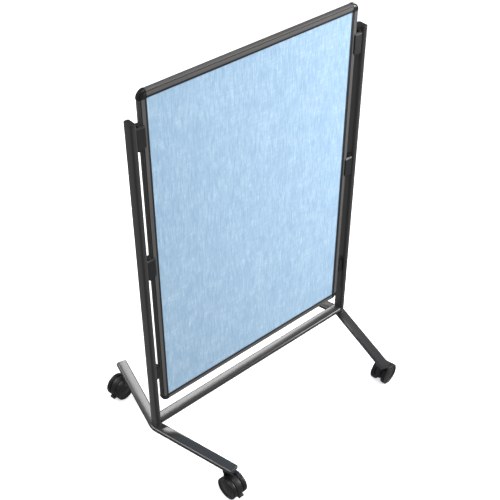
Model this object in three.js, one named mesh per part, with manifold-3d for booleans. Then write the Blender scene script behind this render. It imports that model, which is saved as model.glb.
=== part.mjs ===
// Mobile partition wall: a fabric-faced pinboard panel in a rounded aluminium frame, carried
// by two posts on splayed tube feet, with four hooded twin-wheel castors.
// Millimetres. X runs along the panel, Y through it (front is -Y), Z up.
// Origin: on the floor, under the middle of the panel.
import * as THREE from "three";
import { mergeVertices } from "three/addons/utils/BufferGeometryUtils.js";
import Module from "manifold-3d";

// ---- driving dimensions ------------------------------------------------------------------
const gap = 0.3; // clearance between touching pieces

const fabricWidth = 994; // visible fabric
const fabricHeight = 1475;
const fabricBottom = 311; // height of the visible fabric above the floor
const fabricThickness = 1;
const coreThickness = 17.4;

const railOverhang = 32; // from the visible fabric to the outer crest of the frame
const railDepth = 28; // through the panel
const railFace = 19; // flat front face, up to its groove
const lipBevel = 3;
const channelWidth = 20.6; // slot that holds the board
const channelDepth = 9;
const boardInRail = 8; // how far the board reaches into the slot

const postSpacing = 1132; // centre to centre of the posts
const postWidth = 25;
const postDepth = 50;
const postCorner = 8;
const postTop = 1706;
const postCapHeight = 5;
const postPlugLength = 45; // solid foot of the post that takes the bolt
const tubeWall = 2;

const footWidth = 50;
const footHeight = 25;
const footCorner = 8;
const footBottom = 132.5;
const footVertexX = 571.5; // where the two legs of a foot would meet
const footEndX = 464;
const footEndY = 415.5;
const footBendRadius = 60;
const footEndCap = 4;
const insertLength = 70; // nut block inside each leg end

const crossbarWidth = 50;
const crossbarHeight = 25;
const crossbarRise = 8.5; // above the top of the feet

const clampHeight = 96; // middle and upper brackets, which lap both faces of the frame
const clampDepth = 38;
const clampGrip = 14; // how far a clamp laps the frame
const clampLevels = { middle: 1046, upper: 1641 }; // centres above the floor
const spacerHeight = 64; // lower brackets, which only fill the gap beside the frame
const spacerDepth = 26;
const spacerLevel = 469;
const pinY = -9; // a clamp's pin stands in its front half
const pinRadius = 5.5;
const pinHeadRadius = 9;
const clampPinHead = 9;
const spacerPinHead = 6;
const pinBottomHead = 5;

const wheelRadius = 53;
const wheelWidth = 22;
const hoodWidth = 31;
const hoodRadius = 52;
const wheelGap = 1.5; // between hood and wheel
const castorTrail = 36; // stem to axle
const castorInset = 41; // stem to the end of the leg
const axleRadius = 4;
const stemRadius = 5.5;
const bossRadius = 15;
const collarRadius = 19;
const pedalWidth = 26;

// trail direction of each castor, degrees anticlockwise from -Y seen from above
const castorTurns = {
  front_left: 2,
  back_left: 280,
  front_right: 99,
  back_right: 180,
};
const brakedCastors = ["front_left", "back_left"];

// ---- finishes ----------------------------------------------------------------------------
const finish = (color, roughness, metalness) =>
  new THREE.MeshStandardMaterial({ color, roughness, metalness });
const fabricBlue = finish(0xa8cdea, 0.95, 0);
const boardTan = finish(0xb49a72, 0.9, 0);
const frameGraphite = finish(0x55565a, 0.35, 0.8);
const tubeGraphite = finish(0x4a4c50, 0.3, 0.6);
const blackPlastic = finish(0x17181a, 0.4, 0);
const plainSteel = finish(0x9a9ca0, 0.35, 0.9);

// ---- helpers -----------------------------------------------------------------------------
const wasm = await Module();
wasm.setup();

// A geometry as a manifold solid, in its own coordinates.
function solid(geometry) {
  const bare = geometry.index ? geometry.toNonIndexed() : geometry.clone();
  bare.deleteAttribute("normal");
  bare.deleteAttribute("uv");
  const merged = mergeVertices(bare, 1e-3);
  const mesh = new wasm.Mesh({
    numProp: 3,
    vertProperties: merged.attributes.position.array,
    triVerts: new Uint32Array(merged.index.array),
  });
  return new wasm.Manifold(mesh);
}

// A manifold solid back as a flat-shaded geometry.
function geometryOf(made) {
  const mesh = made.getMesh();
  const geometry = new THREE.BufferGeometry();
  const points = new Float32Array(mesh.numVert * 3);
  for (let i = 0; i < mesh.numVert; i++) {
    points.set(mesh.vertProperties.subarray(i * mesh.numProp, i * mesh.numProp + 3), i * 3);
  }
  geometry.setAttribute("position", new THREE.BufferAttribute(points, 3));
  geometry.setIndex(new THREE.BufferAttribute(mesh.triVerts, 1));
  const flat = geometry.toNonIndexed();
  flat.computeVertexNormals();
  return flat;
}

const box = (sx, sy, sz, x = 0, y = 0, z = 0) =>
  new THREE.BoxGeometry(sx, sy, sz).translate(x, y, z);

// An upright cylinder standing on z.
const rod = (radius, height, z, sides = 32) =>
  new THREE.CylinderGeometry(radius, radius, height, sides)
    .rotateX(Math.PI / 2)
    .translate(0, 0, z + height / 2);

// A closed profile [[x, y], ...] pushed along +Z.
function prism(points, length, holes = []) {
  const shape = new THREE.Shape(points.map(([x, y]) => new THREE.Vector2(x, y)));
  for (const hole of holes) {
    shape.holes.push(new THREE.Path(hole.map(([x, y]) => new THREE.Vector2(x, y))));
  }
  return new THREE.ExtrudeGeometry(shape, { depth: length, bevelEnabled: false });
}

// Points of a rounded rectangle centred on the origin.
function roundedRectangle(width, height, radius, cornerSteps = 2) {
  const points = [];
  const corners = [
    [1, 1, 0],
    [-1, 1, 90],
    [-1, -1, 180],
    [1, -1, 270],
  ];
  for (const [sx, sy, start] of corners) {
    for (let i = 0; i <= cornerSteps; i++) {
      const angle = THREE.MathUtils.degToRad(start + (90 * i) / cornerSteps);
      points.push([
        sx * (width / 2 - radius) + radius * Math.cos(angle),
        sy * (height / 2 - radius) + radius * Math.sin(angle),
      ]);
    }
  }
  return points;
}

// Points along an arc about (cx, cy), from one angle to another in degrees.
function arcPoints(cx, cy, rx, ry, from, to, steps) {
  const points = [];
  for (let i = 0; i <= steps; i++) {
    const angle = THREE.MathUtils.degToRad(from + ((to - from) * i) / steps);
    points.push([cx + rx * Math.cos(angle), cy + ry * Math.sin(angle)]);
  }
  return points;
}

const wall = new THREE.Group();

function place(name, geometry, material, parent = wall) {
  const mesh = new THREE.Mesh(geometry, material);
  mesh.name = name;
  parent.add(mesh);
  return mesh;
}

// ---- panel -------------------------------------------------------------------------------
const panelMiddleZ = fabricBottom + fabricHeight / 2;
const boardWidth = fabricWidth + 2 * boardInRail;
const boardHeight = fabricHeight + 2 * boardInRail;

function makeBoard() {
  place(
    "panel_core",
    box(boardWidth, coreThickness, boardHeight, 0, 0, panelMiddleZ),
    boardTan,
  );
  const sheetY = coreThickness / 2 + gap + fabricThickness / 2;
  for (const [name, side] of [
    ["front_fabric", -1],
    ["back_fabric", 1],
  ]) {
    place(
      name,
      box(boardWidth, fabricThickness, boardHeight, 0, side * sheetY, panelMiddleZ),
      fabricBlue,
    );
  }
}

// ---- frame -------------------------------------------------------------------------------
// Half of the rail's outline, on the +y side, from the lip out to the crest.
const grooveDepth = 1.1;
const grooveWidth = 2.4;
const crestHalf = 5;
const roundStart = railFace + grooveWidth + 0.6;
const halfOutline = [
  [0, railDepth / 2 - lipBevel],
  [lipBevel, railDepth / 2],
  [railFace, railDepth / 2],
  [railFace + 0.6, railDepth / 2 - grooveDepth],
  [railFace + grooveWidth, railDepth / 2 - grooveDepth],
  ...arcPoints(
    roundStart,
    crestHalf,
    railOverhang - roundStart,
    railDepth / 2 - 0.3 - crestHalf,
    90,
    0,
    4,
  ),
];
const mirrored = (points) => points.map(([d, y]) => [d, -y]).reverse();

const railOutline = [
  [0, -channelWidth / 2],
  [channelDepth, -channelWidth / 2],
  [channelDepth, channelWidth / 2],
  [0, channelWidth / 2],
  ...halfOutline,
  ...mirrored(halfOutline),
];
const chamberInner = channelDepth + 2.5;
const chamberOuter = railOverhang - 3;
const chamberHalf = 8.5;
const railChamber = [
  [chamberInner, -chamberHalf],
  [chamberOuter - 5, -chamberHalf],
  [chamberOuter, -chamberHalf + 5],
  [chamberOuter, chamberHalf - 5],
  [chamberOuter - 5, chamberHalf],
  [chamberInner, chamberHalf],
];

function makeRails() {
  const sides = [
    ["top_rail", fabricWidth, 0, fabricHeight / 2],
    ["left_rail", fabricHeight, 90, fabricWidth / 2],
    ["bottom_rail", fabricWidth, 180, fabricHeight / 2],
    ["right_rail", fabricHeight, 270, fabricWidth / 2],
  ];
  for (const [name, length, turn, reach] of sides) {
    const cut = length - 2 * gap;
    const geometry = prism(railOutline, cut, [railChamber]);
    // profile x becomes +Z, profile y stays along Y, the length runs along X
    geometry.translate(0, 0, -cut / 2);
    geometry.rotateY(-Math.PI / 2);
    geometry.translate(0, 0, reach);
    geometry.rotateY(THREE.MathUtils.degToRad(-turn));
    const rail = place(name, geometry, frameGraphite);
    rail.position.z = panelMiddleZ;
  }
}

// Corner cap: the rail's outline turned through a right angle about the fabric's corner,
// standing a little proud, with a tongue into each rail.
const capProud = 2;
const tongueLength = 40;

function makeCornerCaps() {
  const outer = railOverhang + capProud;
  const half = railDepth / 2 + capProud / 2;
  const profile = [
    [0, -half],
    [railFace, -half],
    ...arcPoints(railFace, -crestHalf, outer - railFace, half - crestHalf, 270, 360, 4),
    ...arcPoints(railFace, crestHalf, outer - railFace, half - crestHalf, 0, 90, 4),
    [0, half],
  ];
  const dome = solid(
    new THREE.LatheGeometry(
      profile.map(([r, y]) => new THREE.Vector2(r, y)),
      32,
    ),
  );
  const reach = 2 * outer;
  const quarter = solid(box(reach, reach, reach, reach / 2, 0, reach / 2));
  const slot = channelDepth + gap;
  const boardSlot = solid(box(slot + 1, channelWidth, slot + 1, (slot - 1) / 2, 0, (slot - 1) / 2));
  const tongueSize = chamberOuter - chamberInner - 5.6;
  const tongueMiddle = chamberInner + gap + tongueSize / 2;
  const tongueWidth = 2 * (chamberHalf - gap);
  const along = tongueLength + 5;
  const tongueX = solid(
    box(along, tongueWidth, tongueSize, 5 - along / 2, 0, tongueMiddle),
  );
  const tongueZ = solid(
    box(tongueSize, tongueWidth, along, tongueMiddle, 0, 5 - along / 2),
  );
  const cap = geometryOf(
    dome.intersect(quarter).subtract(boardSlot).add(tongueX).add(tongueZ),
  );
  const corners = [
    ["corner_cap_top_right", 1, 1, 0],
    ["corner_cap_bottom_right", 1, -1, 90],
    ["corner_cap_bottom_left", -1, -1, 180],
    ["corner_cap_top_left", -1, 1, 270],
  ];
  for (const [name, sx, sz, turn] of corners) {
    const mesh = place(name, cap.clone(), blackPlastic);
    mesh.rotation.y = THREE.MathUtils.degToRad(turn);
    mesh.position.set((sx * fabricWidth) / 2, 0, panelMiddleZ + (sz * fabricHeight) / 2);
  }
}

// ---- posts, crossbar and brackets ---------------------------------------------------------
const postX = postSpacing / 2;
const footTop = footBottom + footHeight;
const postBase = footTop + gap;
const boltRadius = 4;
const boltBore = boltRadius + 2 * gap;

function makePosts() {
  const outline = roundedRectangle(postWidth, postDepth, postCorner);
  const bore = roundedRectangle(
    postWidth - 2 * tubeWall,
    postDepth - 2 * tubeWall,
    postCorner - tubeWall,
  );
  const length = postTop - postBase;
  const boltLength = 34;
  const tube = geometryOf(
    solid(prism(outline, length))
      .subtract(solid(prism(bore, length).translate(0, 0, postPlugLength)))
      .subtract(solid(rod(boltBore, boltLength + gap, -gap, 16))),
  );
  const capPoints = roundedRectangle(postWidth - 3, postDepth - 3, postCorner - 1.5);
  const capShape = new THREE.Shape(capPoints.map(([x, y]) => new THREE.Vector2(x, y)));
  const capTop = new THREE.ExtrudeGeometry(capShape, {
    depth: postCapHeight - 1.5 - gap,
    bevelThickness: 1.5,
    bevelSize: 1.5,
    bevelSegments: 2,
  });
  const spigot = prism(
    roundedRectangle(
      postWidth - 2 * tubeWall - 2 * gap,
      postDepth - 2 * tubeWall - 2 * gap,
      postCorner - tubeWall,
    ),
    22,
  );
  const capBottomTrim = box(2 * postWidth, 2 * postDepth, 10, 0, 0, -5 + gap);
  const cap = geometryOf(
    solid(capTop).subtract(solid(capBottomTrim)).add(solid(spigot.translate(0, 0, -20))),
  );
  const bolt = geometryOf(
    solid(rod(boltRadius, footHeight + 30, -footHeight - gap - 3, 16)).add(
      solid(rod(7.5, 5, -footHeight - gap - 5 - gap, 6)),
    ),
  );
  for (const [side, sx] of [
    ["left", -1],
    ["right", 1],
  ]) {
    const x = sx * postX;
    place(side + "_post", tube.clone().translate(x, 0, postBase), tubeGraphite);
    place(side + "_post_cap", cap.clone().translate(x, 0, postTop), blackPlastic);
    place(side + "_post_bolt", bolt.clone().translate(x, 0, postBase), plainSteel);
  }
}

function makeCrossbar() {
  const outline = roundedRectangle(crossbarWidth, crossbarHeight, footCorner);
  const bore = roundedRectangle(
    crossbarWidth - 2 * tubeWall,
    crossbarHeight - 2 * tubeWall,
    footCorner - tubeWall,
  );
  const length = postSpacing - postWidth - 2 * gap;
  const bar = prism(outline, length, [bore]);
  bar.translate(0, 0, -length / 2);
  bar.rotateZ(Math.PI / 2);
  bar.rotateY(Math.PI / 2);
  place(
    "crossbar",
    bar.translate(0, 0, footTop + crossbarRise + crossbarHeight / 2),
    tubeGraphite,
  );
}

// The brackets fill the gap between post and frame.
const crestX = fabricWidth / 2 + railOverhang;
const bracketOuter = postX - postWidth / 2 - gap;
const bracketInner = crestX + gap;
const pinX = (bracketOuter + bracketInner) / 2;

// A clamp's block on the right side, about its own middle height.
function makeClampBlock() {
  const half = clampDepth / 2;
  const grip = railDepth / 2 + gap;
  const tip = crestX - clampGrip;
  const plan = [
    [tip, -half + 2],
    [tip + 2, -half],
    [bracketOuter, -half],
    [bracketOuter, half],
    [tip + 2, half],
    [tip, half - 2],
    [tip, grip],
    [bracketInner, grip],
    [bracketInner, -grip],
    [tip, -grip],
  ];
  const tall = clampHeight / 2;
  const slope = 11; // sloping shoulder over the top
  const taper = 14; // cut corners under the bottom
  const front = [
    [bracketOuter + 1, -tall],
    [bracketOuter + 1, tall],
    [tip + 3, tall],
    [tip - 1, tall - 4],
    [tip - 1, -tall + taper],
    [tip + 9, -tall],
  ];
  const sideView = [
    [-half - 1, -tall],
    [half + 1, -tall],
    [half + 1, tall - slope],
    [half - 6, tall],
    [-half + 6, tall],
    [-half - 1, tall - slope],
  ];
  const planSolid = solid(prism(plan, clampHeight).translate(0, 0, -tall));
  const frontSolid = solid(
    prism(front, 2 * clampDepth)
      .translate(0, 0, -clampDepth)
      .rotateX(Math.PI / 2),
  );
  const sideSolid = solid(
    prism(sideView, 2 * postX)
      .rotateX(Math.PI / 2)
      .rotateZ(Math.PI / 2),
  );
  return planSolid.intersect(frontSolid).intersect(sideSolid);
}

function makeSpacerBlock() {
  const outline = roundedRectangle(bracketOuter - bracketInner, spacerDepth, 4);
  return solid(prism(outline, spacerHeight).translate(pinX, 0, -spacerHeight / 2));
}

// A pin through a block of some height, with a round head above and a lower one below.
function makePin(height, topHead) {
  const end = height / 2 + gap;
  const profile = [
    [0, -end - pinBottomHead],
    [pinHeadRadius - 2, -end - pinBottomHead],
    [pinHeadRadius, -end - pinBottomHead + 2],
    [pinHeadRadius, -end],
    [pinRadius, -end],
    [pinRadius, end],
    [pinHeadRadius, end],
    [pinHeadRadius, end + topHead - 3],
    [pinHeadRadius - 3, end + topHead],
    [0, end + topHead],
  ];
  return new THREE.LatheGeometry(
    profile.map(([r, z]) => new THREE.Vector2(r, z)),
    16,
  ).rotateX(Math.PI / 2);
}

// One pair of brackets, right and left: the left one is the right one turned half round,
// with its pin kept at the same distance in front of the middle.
function placeBrackets(level, z, block, height, topHead, y) {
  const hole = rod(pinRadius + 2 * gap, height + 2, -height / 2 - 1, 16);
  const pin = makePin(height, topHead);
  for (const [side, turn, localY] of [
    ["right", 0, y],
    ["left", Math.PI, -y],
  ]) {
    const name = side + "_" + level + "_bracket";
    const drilled = geometryOf(block.subtract(solid(hole.clone().translate(pinX, localY, 0))));
    place(name, drilled.rotateZ(turn).translate(0, 0, z), blackPlastic);
    const pinHere = pin.clone().translate(pinX, localY, 0);
    place(name + "_pin", pinHere.rotateZ(turn).translate(0, 0, z), blackPlastic);
  }
}

function makeBrackets() {
  const clamp = makeClampBlock();
  for (const [level, z] of Object.entries(clampLevels)) {
    placeBrackets(level, z, clamp, clampHeight, clampPinHead, pinY);
  }
  placeBrackets("lower", spacerLevel, makeSpacerBlock(), spacerHeight, spacerPinHead, 0);
}

// ---- feet --------------------------------------------------------------------------------
const legAngle = Math.atan2(footVertexX - footEndX, footEndY); // from Y, towards the middle
const legLength = Math.hypot(footVertexX - footEndX, footEndY);

// The centre line of the right foot: a leg, a bend about the vertex and the other leg.
// Its points are close together in the bend and nowhere else.
const bendSteps = 8;
const footSteps = bendSteps + 2;

class FootPath extends THREE.Curve {
  // angle of the path from +Y at a step along it, turning from one leg to the other
  turnAt(t) {
    const step = THREE.MathUtils.clamp(t * footSteps - 1, 0, bendSteps);
    return legAngle * (1 - (2 * step) / bendSteps);
  }

  getPoint(t) {
    const turn = this.turnAt(t);
    const centreX = footVertexX - footBendRadius / Math.cos(legAngle);
    const point = new THREE.Vector3(
      centreX + footBendRadius * Math.cos(turn),
      -footBendRadius * Math.sin(turn),
      0,
    );
    const bendLength = footBendRadius * Math.tan(legAngle);
    const straight = legLength - footEndCap - bendLength;
    if (t === 0) point.addScaledVector(this.getTangent(t), -straight);
    if (t === 1) point.addScaledVector(this.getTangent(t), straight);
    return point;
  }

  getTangent(t) {
    const turn = this.turnAt(t);
    return new THREE.Vector3(Math.sin(turn), Math.cos(turn), 0);
  }

  getPointAt(u) {
    return this.getPoint(u);
  }

  getTangentAt(u) {
    return this.getTangent(u);
  }
}

// Where a castor's stem stands under the front leg of the right foot.
const stemX = footEndX + castorInset * Math.sin(legAngle);
const stemY = -(footEndY - castorInset * Math.cos(legAngle));

function makeFeet() {
  const section = new THREE.Shape(
    roundedRectangle(footHeight, footWidth, footCorner).map(([x, y]) => new THREE.Vector2(x, y)),
  );
  const outer = solid(
    new THREE.ExtrudeGeometry(section, { extrudePath: new FootPath(), steps: footSteps }),
  );
  const inside = roundedRectangle(
    footWidth - 2 * tubeWall,
    footHeight - 2 * tubeWall,
    footCorner - tubeWall,
  );
  let foot = outer;
  for (const sy of [-1, 1]) {
    const hollow = prism(inside, legLength + 20)
      .rotateX(Math.PI / 2)
      .rotateZ(-legAngle)
      .translate(footVertexX, 0, 0);
    const stemHole = rod(stemRadius + 1, footHeight / 2, -footHeight / 2 - 1, 16);
    stemHole.translate(stemX, stemY, 0);
    if (sy > 0) {
      hollow.rotateX(Math.PI);
      stemHole.translate(0, -2 * stemY, 0);
    }
    foot = foot.subtract(solid(hollow)).subtract(solid(stemHole));
  }
  const postHole = rod(boltBore, 2 * footHeight, -footHeight, 16).translate(postX, 0, 0);
  foot = foot.subtract(solid(postHole));
  const geometry = geometryOf(foot);
  const footZ = footBottom + footHeight / 2;
  place("right_foot", geometry.clone().translate(0, 0, footZ), tubeGraphite);
  place("left_foot", geometry.rotateZ(Math.PI).translate(0, 0, footZ), tubeGraphite);
}

// End plug: a rounded end cap and a nut block inside the tube for the castor's stem.
function makeFootEnds() {
  const capOutline = roundedRectangle(footWidth - 3, footHeight - 3, footCorner - 1.5);
  const capShape = new THREE.Shape(capOutline.map(([x, y]) => new THREE.Vector2(x, y)));
  const cap = new THREE.ExtrudeGeometry(capShape, {
    depth: footEndCap - 1.5 - gap,
    bevelThickness: 1.5,
    bevelSize: 1.5,
    bevelSegments: 2,
  });
  const trim = box(2 * footWidth, 2 * footHeight, 10, 0, 0, -5 + gap);
  const blockOutline = roundedRectangle(
    footWidth - 2 * tubeWall - 2 * gap,
    footHeight - 2 * tubeWall - 2 * gap,
    footCorner - tubeWall,
  );
  const block = prism(blockOutline, insertLength + 1).translate(0, 0, -insertLength);
  const plug = geometryOf(solid(cap).subtract(solid(trim)).add(solid(block)));
  // the plug's length runs outwards along the leg; its stem hole is cut square to it
  plug.rotateX(Math.PI / 2);
  plug.translate(0, footEndCap, 0);
  const hole = rod(stemRadius + 2 * gap, 18, -13, 16).translate(0, castorInset, 0);
  const drilled = geometryOf(solid(plug).subtract(solid(hole)));
  const ends = [
    ["front_right_foot_end", 1, -1],
    ["back_right_foot_end", 1, 1],
    ["back_left_foot_end", -1, 1],
    ["front_left_foot_end", -1, -1],
  ];
  for (const [name, sx, sy] of ends) {
    const mesh = place(name, drilled.clone(), tubeGraphite);
    mesh.position.set(sx * footEndX, sy * footEndY, footBottom + footHeight / 2);
    mesh.rotation.z = sy < 0 ? -sx * legAngle : Math.PI + sx * legAngle;
  }
}

// ---- castors -----------------------------------------------------------------------------
// A castor stands at the origin with its stem upright; its wheels trail towards -Y.
const axleZ = wheelRadius;
const flangeThickness = 2.6;
const hoodTop = footBottom - flangeThickness - 2 * gap;

function makeHood() {
  const rear = 205; // where the hood ends behind the wheels, degrees round from the front
  const outline = [
    ...arcPoints(-castorTrail, axleZ, hoodRadius, hoodRadius, 8, rear, 16),
    [-castorTrail - 30, axleZ - 20],
    [-castorTrail - 12, axleZ - 12],
    [-castorTrail + 14, axleZ - 12],
  ];
  const band = solid(
    prism(outline, hoodWidth)
      .translate(0, 0, -hoodWidth / 2)
      .rotateX(Math.PI / 2)
      .rotateZ(Math.PI / 2),
  );
  const boss = solid(rod(bossRadius, hoodTop - 56, 56, 24));
  const collarBottom = 2 * wheelRadius + wheelGap;
  const collar = solid(rod(collarRadius, hoodTop - collarBottom, collarBottom, 24));
  const stemBore = solid(rod(stemRadius + 2 * gap, 60, hoodTop - 40, 16));
  const axleBore = solid(
    rod(axleRadius + 2 * gap, 2 * hoodWidth, -hoodWidth, 16)
      .rotateY(Math.PI / 2)
      .translate(0, -castorTrail, axleZ),
  );
  const pedalNotch = solid(
    box(pedalWidth + 2, 17, 24, 0, -castorTrail - 46, axleZ - 22),
  );
  return geometryOf(
    band.add(boss).add(collar).subtract(stemBore).subtract(axleBore).subtract(pedalNotch),
  );
}

// Wheel outline about its axle: r against the distance out from the castor's middle.
function makeWheel() {
  const inner = hoodWidth / 2 + wheelGap;
  const outer = inner + wheelWidth;
  const bore = axleRadius + 2 * gap;
  const facets = 36;
  const rim = wheelRadius / Math.cos(Math.PI / facets);
  const profile = [
    [bore, inner],
    [rim, inner],
    [rim, outer - 4],
    [rim - 3, outer],
    [rim - 9, outer],
    [rim - 12, outer - 3],
    [bore, outer - 3],
    [bore, inner],
  ];
  const wheel = new THREE.LatheGeometry(
    profile.map(([r, d]) => new THREE.Vector2(r, d)),
    facets,
  );
  // a flat of the rim, not an edge, stands on the floor
  wheel.rotateY(Math.PI / facets);
  return wheel.rotateZ(-Math.PI / 2);
}

function makePedal() {
  const outline = [
    [-8, 2],
    [2, 3],
    [6, -3],
    [3, -8],
    [-6, -14],
    [-12, -14],
    [-14, -9],
  ];
  return prism(outline, pedalWidth)
    .translate(0, 0, -pedalWidth / 2)
    .rotateX(Math.PI / 2)
    .rotateZ(Math.PI / 2);
}

function makeCastors() {
  const hood = makeHood();
  const wheel = makeWheel();
  const pedal = makePedal();
  const stem = geometryOf(
    solid(rod(stemRadius, 50, hoodTop - 34, 16)).add(
      solid(rod(11, flangeThickness, hoodTop + gap, 16)),
    ),
  );
  const axleLength = hoodWidth + 2 * wheelGap + 2 * (wheelWidth - 4);
  const axle = rod(axleRadius, axleLength, -axleLength / 2, 16).rotateY(Math.PI / 2);
  const corners = [
    ["front_left", -1, 1],
    ["back_left", -1, -1],
    ["front_right", 1, 1],
    ["back_right", 1, -1],
  ];
  for (const [corner, sx, sy] of corners) {
    const castor = new THREE.Group();
    castor.position.set(sx * stemX, sy * stemY, 0);
    castor.rotation.z = THREE.MathUtils.degToRad(castorTurns[corner]);
    wall.add(castor);
    place(corner + "_castor_stem", stem.clone(), plainSteel, castor);
    place(corner + "_castor_hood", hood.clone(), blackPlastic, castor);
    const axleHere = place(corner + "_castor_axle", axle.clone(), plainSteel, castor);
    axleHere.position.set(0, -castorTrail, axleZ);
    for (const [side, turn] of [
      ["a", 0],
      ["b", Math.PI],
    ]) {
      const one = place(corner + "_wheel_" + side, wheel.clone(), blackPlastic, castor);
      one.position.set(0, -castorTrail, axleZ);
      one.rotation.z = turn;
    }
    if (brakedCastors.includes(corner)) {
      const lever = place(corner + "_brake_pedal", pedal.clone(), blackPlastic, castor);
      lever.position.set(0, -castorTrail - 44, axleZ - 20);
    }
  }
}

makeBoard();
makeRails();
makeCornerCaps();
makePosts();
makeCrossbar();
makeBrackets();
makeFeet();
makeFootEnds();
makeCastors();

export default wall;
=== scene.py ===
# %% [markdown]
# # A mobile partition wall
# The wall is a pinboard panel, faced with pale blue cloth and held in a rounded aluminium
# frame. Two flat tubes carry it, and each stands on a V-shaped foot with a castor under
# every leg. The drawn model is loaded as a fixed frame: it says where each piece is. This
# lesson makes the shown pieces around it, one after another.

# %% Load the drawn model
import math

import bmesh
import bpy
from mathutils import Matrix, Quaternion, Vector


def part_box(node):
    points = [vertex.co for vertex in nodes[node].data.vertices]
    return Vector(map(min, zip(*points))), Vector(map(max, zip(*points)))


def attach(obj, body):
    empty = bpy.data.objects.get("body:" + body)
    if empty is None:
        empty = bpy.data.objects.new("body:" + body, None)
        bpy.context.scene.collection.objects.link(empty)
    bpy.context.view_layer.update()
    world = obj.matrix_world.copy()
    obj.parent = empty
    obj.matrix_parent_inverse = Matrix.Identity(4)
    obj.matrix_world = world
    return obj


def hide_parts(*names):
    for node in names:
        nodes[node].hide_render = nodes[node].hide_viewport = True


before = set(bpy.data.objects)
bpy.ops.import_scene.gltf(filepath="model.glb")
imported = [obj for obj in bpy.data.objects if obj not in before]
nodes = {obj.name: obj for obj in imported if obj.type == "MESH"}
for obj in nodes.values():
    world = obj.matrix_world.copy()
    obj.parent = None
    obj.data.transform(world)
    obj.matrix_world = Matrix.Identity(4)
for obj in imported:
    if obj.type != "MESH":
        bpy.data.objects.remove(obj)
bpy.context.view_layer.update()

mm = 0.001

# %% [markdown]
# The camera comes first, so that every step can be looked at. It stands to the left of the
# wall and well above it, and looks down at forty degrees. A long lens keeps the upright
# lines nearly parallel, as a catalogue picture does.

# %% Camera
camera_data = bpy.data.cameras.new("catalogue_camera")
camera_data.lens = 71.07
camera_data.sensor_width = 36.0
camera_data.shift_x = 0.0048
camera_data.shift_y = 0.0203
camera = bpy.data.objects.new("catalogue_camera", camera_data)
camera.location = (-2.1398, -2.4516, 3.5151)
camera.rotation_euler = (math.radians(50.05), 0.0, math.radians(-40.66))
bpy.context.collection.objects.link(camera)
bpy.context.scene.camera = camera
bpy.context.scene.view_settings.view_transform = "Standard"
print("camera at", tuple(camera.location))

# %% [markdown]
# ## Hand tools
# Every piece starts as a primitive and is shaped in edit mode. An operator acts on all that
# is selected, so these small helpers always clear the selection first and then pick faces or
# edges by where they are or which way they point.

# %% Starting a piece
def only(piece):
    """Selects this object alone and makes it the active one."""
    if bpy.context.object and bpy.context.object.mode != "OBJECT":
        bpy.ops.object.mode_set(mode="OBJECT")
    bpy.ops.object.select_all(action="DESELECT")
    piece.select_set(True)
    bpy.context.view_layer.objects.active = piece


def settle(piece):
    """Puts the object's place, turn and size into its mesh."""
    only(piece)
    bpy.ops.object.transform_apply(location=True, rotation=True, scale=True)
    return piece


def sized(name, size):
    """Names the new primitive and gives it its size."""
    piece = bpy.context.object
    piece.name = name
    piece.scale = size
    return settle(piece)


def block(name, low, high):
    """A cube stretched between two corners."""
    low, high = Vector(low), Vector(high)
    bpy.ops.object.select_all(action="DESELECT")
    bpy.ops.mesh.primitive_cube_add(size=1, location=(low + high) / 2)
    return sized(name, high - low)


def disc(name, radius, depth, centre, axis="Z", sides=48):
    """A cylinder lying along X or standing along Z."""
    turn = {"X": (0, math.pi / 2, 0), "Z": (0, 0, 0)}[axis]
    bpy.ops.object.select_all(action="DESELECT")
    bpy.ops.mesh.primitive_cylinder_add(
        vertices=sides, radius=radius, depth=depth, location=centre, rotation=turn
    )
    bpy.context.object.name = name
    return settle(bpy.context.object)


print("one unit is", 1 / mm, "mm")

# %% [markdown]
# Shaping is done in edit mode. A bevel needs edges and an extrusion needs faces, and both are
# found by a small test, because a test still finds the right ones when a size is changed.

# %% Picking and shaping
def edit(piece, kind="FACE"):
    """Opens the piece for editing with nothing selected."""
    only(piece)
    bpy.ops.object.mode_set(mode="EDIT")
    bpy.ops.mesh.select_mode(type=kind)
    bpy.ops.mesh.select_all(action="DESELECT")


def leave():
    bpy.ops.object.mode_set(mode="OBJECT")


def pick_faces(piece, test):
    """Selects the faces for which test(middle, normal) holds."""
    edit(piece, "FACE")
    mesh = bmesh.from_edit_mesh(piece.data)
    mesh.normal_update()
    for face in mesh.faces:
        face.select_set(bool(test(face.calc_center_median(), face.normal)))
    mesh.select_flush_mode()
    bmesh.update_edit_mesh(piece.data)


def pick_edges(piece, test):
    """Selects the edges for which test(one end, other end) holds."""
    edit(piece, "EDGE")
    mesh = bmesh.from_edit_mesh(piece.data)
    for edge in mesh.edges:
        one, other = (v.co for v in edge.verts)
        edge.select_set(bool(test(one, other)))
    mesh.select_flush_mode()
    bmesh.update_edit_mesh(piece.data)


def round_edges(piece, test, radius, steps):
    """Bevels the picked edges round."""
    pick_edges(piece, test)
    bpy.ops.mesh.bevel(offset=radius, segments=steps, profile=0.5, affect="EDGES")
    leave()


def soften(piece, radius, steps=2, angle=35):
    """Rounds every sharp edge a little, as a mould or a file leaves it."""
    edit(piece, "EDGE")
    bpy.ops.mesh.edges_select_sharp(sharpness=math.radians(angle))
    bpy.ops.mesh.bevel(
        offset=radius, segments=steps, profile=0.5, affect="EDGES", clamp_overlap=True
    )
    leave()


def push(piece, test, by):
    """Extrudes the picked faces and moves the new ones by a vector."""
    pick_faces(piece, test)
    bpy.ops.mesh.extrude_region_move(TRANSFORM_OT_translate={"value": tuple(by)})
    leave()


def swell(by):
    """Extrudes the selected faces outwards, or inwards where the amount is below zero."""
    bpy.ops.mesh.extrude_region_shrink_fatten(TRANSFORM_OT_shrink_fatten={"value": by})


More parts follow.
